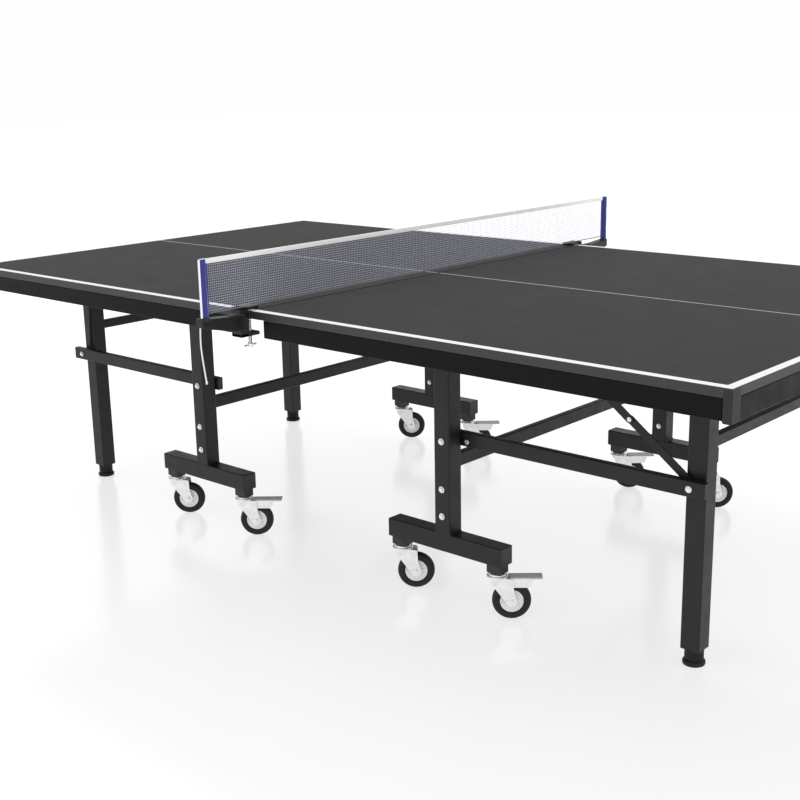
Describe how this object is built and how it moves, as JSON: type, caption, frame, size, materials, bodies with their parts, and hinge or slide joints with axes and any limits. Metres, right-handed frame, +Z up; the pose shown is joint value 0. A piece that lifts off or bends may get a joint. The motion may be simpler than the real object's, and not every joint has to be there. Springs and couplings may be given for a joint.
{
  "type": "ping pong table",
  "caption": "Folding roll-away table tennis table in two halves on braked casters, with end legs, folding links and a clamp-on net.",
  "frame": {"origin": "on the floor under the middle of the net", "axes": "+Z up, +X along the table's length towards the right half, -Y towards the front long side"},
  "size_m": [2.74, 1.8612, 0.9125],
  "materials": {
    "playfield": "matte dark grey lacquer with white lines",
    "black_steel": "satin black powder coat",
    "zinc": "bright zinc plate",
    "tyre": "satin black rubber tread",
    "foot_rubber": "matt black moulded rubber",
    "pedal_plastic": "mid grey moulded plastic",
    "post_sleeve": "deep blue woven nylon",
    "netting": "fine pale knotted mesh",
    "white_cord": "white braided cord",
    "hub_plastic": "light grey moulded plastic",
    "cap_plastic": "grey moulded plastic corner cap",
    "black_plastic": "black moulded plastic plugs",
    "line_paint": "matt white line paint",
    "white_tape": "white woven net tape"
  },
  "bodies": {
    "right_carriage": {"right_front_t_frame": "black_steel", "right_back_t_frame": "black_steel", "right_carriage_crossbar": "black_steel"},
    "right_top": {"right_board": "playfield", "right_end_rail": "black_steel", "right_front_side_rail": "black_steel", "right_back_side_rail": "black_steel"},
    "right_links": {"right_front_link_rail": "black_steel", "right_back_link_rail": "black_steel"},
    "right_legs": {"right_front_end_leg": "black_steel", "right_back_end_leg": "black_steel", "right_leg_crossbar": "black_steel"},
    "right_stay_lower": {"right_stay_lower": "black_steel"},
    "right_stay_upper": {"right_stay_upper": "black_steel"},
    "right_front_foot": {"right_front_foot": "foot_rubber"},
    "right_front_inner_fork": {"right_front_inner_fork": "zinc"},
    "right_front_inner_wheel": {"right_front_inner_wheel": "tyre"},
    "right_front_outer_fork": {"right_front_outer_fork": "zinc"},
    "right_front_outer_wheel": {"right_front_outer_wheel": "tyre"},
    "right_front_brake_pedal": {"right_front_brake_pedal": "pedal_plastic"},
    "right_back_foot": {"right_back_foot": "foot_rubber"},
    "right_back_inner_fork": {"right_back_inner_fork": "zinc"},
    "right_back_inner_wheel": {"right_back_inner_wheel": "tyre"},
    "right_back_brake_pedal": {"right_back_brake_pedal": "pedal_plastic"},
    "right_back_outer_fork": {"right_back_outer_fork": "zinc"},
    "right_back_outer_wheel": {"right_back_outer_wheel": "tyre"},
    "left_carriage": {"left_front_t_frame": "black_steel", "left_back_t_frame": "black_steel", "left_carriage_crossbar": "black_steel"},
    "left_top": {"left_board": "playfield", "left_end_rail": "black_steel", "left_front_side_rail": "black_steel", "left_back_side_rail": "black_steel", "front_net_clamp": "black_steel", "back_net_clamp": "black_steel", "front_net_post": "post_sleeve", "back_net_post": "post_sleeve", "net": "netting", "tension_cord": "white_cord"},
    "left_links": {"left_front_link_rail": "black_steel", "left_back_link_rail": "black_steel"},
    "left_legs": {"left_front_end_leg": "black_steel", "left_back_end_leg": "black_steel", "left_leg_crossbar": "black_steel"},
    "left_stay_lower": {"left_stay_lower": "black_steel"},
    "left_stay_upper": {"left_stay_upper": "black_steel"},
    "left_front_foot": {"left_front_foot": "foot_rubber"},
    "left_front_inner_fork": {"left_front_inner_fork": "zinc"},
    "left_front_inner_wheel": {"left_front_inner_wheel": "tyre"},
    "left_front_brake_pedal": {"left_front_brake_pedal": "pedal_plastic"},
    "left_front_outer_fork": {"left_front_outer_fork": "zinc"},
    "left_front_outer_wheel": {"left_front_outer_wheel": "tyre"},
    "left_back_foot": {"left_back_foot": "foot_rubber"},
    "left_back_inner_fork": {"left_back_inner_fork": "zinc"},
    "left_back_inner_wheel": {"left_back_inner_wheel": "tyre"},
    "left_back_brake_pedal": {"left_back_brake_pedal": "pedal_plastic"},
    "left_back_outer_fork": {"left_back_outer_fork": "zinc"},
    "left_back_outer_wheel": {"left_back_outer_wheel": "tyre"},
    "front_clamp_screw": {"front_clamp_screw": "zinc"},
    "back_clamp_screw": {"back_clamp_screw": "zinc"}
  },
  "joints": [
    {"name": "halves_apart", "type": "slide", "parent": "right_carriage", "child": "left_carriage", "axis": [-1, 0, 0], "range_m": [0, 0.5]},
    {"name": "right_fold", "type": "hinge", "parent": "right_carriage", "child": "right_top", "pos_m": [0.479, 0, 0.7], "axis": [0, -1, 0], "range_deg": [0, 90]},
    {"name": "right_links_fold", "type": "hinge", "parent": "right_carriage", "child": "right_links", "pos_m": [0.479, 0, 0.445], "axis": [0, -1, 0], "range_deg": [0, 90]},
    {"name": "right_legs_fold", "type": "hinge", "parent": "right_top", "child": "right_legs", "pos_m": [1.15, 0, 0.7], "axis": [0, -1, 0], "range_deg": [-90, 0]},
    {"name": "right_stay_lower_turn", "type": "hinge", "parent": "right_legs", "child": "right_stay_lower", "pos_m": [1.15, -0.486, 0.445], "axis": [0, -1, 0], "range_deg": [0, 205.34]},
    {"name": "right_stay_knee_turn", "type": "hinge", "parent": "right_stay_lower", "child": "right_stay_upper", "pos_m": [0.98, -0.486, 0.5725], "axis": [0, -1, 0], "range_deg": [-156.94, 0]},
    {"name": "right_front_foot_level", "type": "slide", "parent": "right_legs", "child": "right_front_foot", "axis": [0, 0, -1], "range_m": [0, 0.015]},
    {"name": "right_front_inner_swivel", "type": "hinge", "parent": "right_carriage", "child": "right_front_inner_fork", "pos_m": [0.319, -0.54, 0.12], "axis": [0, 0, 1], "continuous": true},
    {"name": "right_front_inner_roll", "type": "hinge", "parent": "right_front_inner_fork", "child": "right_front_inner_wheel", "pos_m": [0.34658, -0.51686, 0.05], "axis": [-0.6428, 0.766, 0], "continuous": true},
    {"name": "right_front_outer_swivel", "type": "hinge", "parent": "right_carriage", "child": "right_front_outer_fork", "pos_m": [0.639, -0.54, 0.12], "axis": [0, 0, 1], "continuous": true},
    {"name": "right_front_outer_roll", "type": "hinge", "parent": "right_front_outer_fork", "child": "right_front_outer_wheel", "pos_m": [0.66658, -0.51686, 0.05], "axis": [-0.6428, 0.766, 0], "continuous": true},
    {"name": "right_front_brake", "type": "hinge", "parent": "right_front_outer_fork", "child": "right_front_brake_pedal", "pos_m": [0.65815, -0.52393, 0.107], "axis": [-0.6428, 0.766, 0], "range_deg": [0, 16]},
    {"name": "right_back_foot_level", "type": "slide", "parent": "right_legs", "child": "right_back_foot", "axis": [0, 0, -1], "range_m": [0, 0.015]},
    {"name": "right_back_inner_swivel", "type": "hinge", "parent": "right_carriage", "child": "right_back_inner_fork", "pos_m": [0.319, 0.54, 0.12], "axis": [0, 0, 1], "continuous": true},
    {"name": "right_back_inner_roll", "type": "hinge", "parent": "right_back_inner_fork", "child": "right_back_inner_wheel", "pos_m": [0.34658, 0.56314, 0.05], "axis": [-0.6428, 0.766, 0], "continuous": true},
    {"name": "right_back_brake", "type": "hinge", "parent": "right_back_inner_fork", "child": "right_back_brake_pedal", "pos_m": [0.33815, 0.55607, 0.107], "axis": [-0.6428, 0.766, 0], "range_deg": [0, 16]},
    {"name": "right_back_outer_swivel", "type": "hinge", "parent": "right_carriage", "child": "right_back_outer_fork", "pos_m": [0.639, 0.54, 0.12], "axis": [0, 0, 1], "continuous": true},
    {"name": "right_back_outer_roll", "type": "hinge", "parent": "right_back_outer_fork", "child": "right_back_outer_wheel", "pos_m": [0.66658, 0.56314, 0.05], "axis": [-0.6428, 0.766, 0], "continuous": true},
    {"name": "left_fold", "type": "hinge", "parent": "left_carriage", "child": "left_top", "pos_m": [-0.479, 0, 0.7], "axis": [0, 1, 0], "range_deg": [0, 90], "deforming": ["net"]},
    {"name": "left_links_fold", "type": "hinge", "parent": "left_carriage", "child": "left_links", "pos_m": [-0.479, 0, 0.445], "axis": [0, 1, 0], "range_deg": [0, 90]},
    {"name": "left_legs_fold", "type": "hinge", "parent": "left_top", "child": "left_legs", "pos_m": [-1.15, 0, 0.7], "axis": [0, 1, 0], "range_deg": [-90, 0]},
    {"name": "left_stay_lower_turn", "type": "hinge", "parent": "left_legs", "child": "left_stay_lower", "pos_m": [-1.15, 0.486, 0.445], "axis": [0, 1, 0], "range_deg": [0, 205.34]},
    {"name": "left_stay_knee_turn", "type": "hinge", "parent": "left_stay_lower", "child": "left_stay_upper", "pos_m": [-0.98, 0.486, 0.5725], "axis": [0, 1, 0], "range_deg": [-156.94, 0]},
    {"name": "left_front_foot_level", "type": "slide", "parent": "left_legs", "child": "left_front_foot", "axis": [0, 0, -1], "range_m": [0, 0.015]},
    {"name": "left_front_inner_swivel", "type": "hinge", "parent": "left_carriage", "child": "left_front_inner_fork", "pos_m": [-0.319, -0.54, 0.12], "axis": [0, 0, 1], "continuous": true},
    {"name": "left_front_inner_roll", "type": "hinge", "parent": "left_front_inner_fork", "child": "left_front_inner_wheel", "pos_m": [-0.29142, -0.51686, 0.05], "axis": [-0.6428, 0.766, 0], "continuous": true},
    {"name": "left_front_brake", "type": "hinge", "parent": "left_front_inner_fork", "child": "left_front_brake_pedal", "pos_m": [-0.29985, -0.52393, 0.107], "axis": [-0.6428, 0.766, 0], "range_deg": [0, 16]},
    {"name": "left_front_outer_swivel", "type": "hinge", "parent": "left_carriage", "child": "left_front_outer_fork", "pos_m": [-0.639, -0.54, 0.12], "axis": [0, 0, 1], "continuous": true},
    {"name": "left_front_outer_roll", "type": "hinge", "parent": "left_front_outer_fork", "child": "left_front_outer_wheel", "pos_m": [-0.61142, -0.51686, 0.05], "axis": [-0.6428, 0.766, 0], "continuous": true},
    {"name": "left_back_foot_level", "type": "slide", "parent": "left_legs", "child": "left_back_foot", "axis": [0, 0, -1], "range_m": [0, 0.015]},
    {"name": "left_back_inner_swivel", "type": "hinge", "parent": "left_carriage", "child": "left_back_inner_fork", "pos_m": [-0.319, 0.54, 0.12], "axis": [0, 0, 1], "continuous": true},
    {"name": "left_back_inner_roll", "type": "hinge", "parent": "left_back_inner_fork", "child": "left_back_inner_wheel", "pos_m": [-0.29142, 0.56314, 0.05], "axis": [-0.6428, 0.766, 0], "continuous": true},
    {"name": "left_back_brake", "type": "hinge", "parent": "left_back_inner_fork", "child": "left_back_brake_pedal", "pos_m": [-0.29985, 0.55607, 0.107], "axis": [-0.6428, 0.766, 0], "range_deg": [0, 16]},
    {"name": "left_back_outer_swivel", "type": "hinge", "parent": "left_carriage", "child": "left_back_outer_fork", "pos_m": [-0.639, 0.54, 0.12], "axis": [0, 0, 1], "continuous": true},
    {"name": "left_back_outer_roll", "type": "hinge", "parent": "left_back_outer_fork", "child": "left_back_outer_wheel", "pos_m": [-0.61142, 0.56314, 0.05], "axis": [-0.6428, 0.766, 0], "continuous": true},
    {"name": "front_clamp_screw_travel", "type": "slide", "parent": "left_top", "child": "front_clamp_screw", "axis": [0, 0, -1], "range_m": [0, 0.02]},
    {"name": "back_clamp_screw_travel", "type": "slide", "parent": "left_top", "child": "back_clamp_screw", "axis": [0, 0, -1], "range_m": [0, 0.02]}
  ],
  "couplings": [
    {"joint": "right_links_fold", "follows": "right_fold", "ratio": 1},
    {"joint": "right_legs_fold", "follows": "right_fold", "ratio": -1},
    {"joint": "right_stay_lower_turn", "follows": "right_fold", "ratio": 2.2815},
    {"joint": "right_stay_knee_turn", "follows": "right_fold", "ratio": -1.7436},
    {"joint": "left_links_fold", "follows": "left_fold", "ratio": 1},
    {"joint": "left_legs_fold", "follows": "left_fold", "ratio": -1},
    {"joint": "left_stay_lower_turn", "follows": "left_fold", "ratio": 2.2815},
    {"joint": "left_stay_knee_turn", "follows": "left_fold", "ratio": -1.7436}
  ]
}
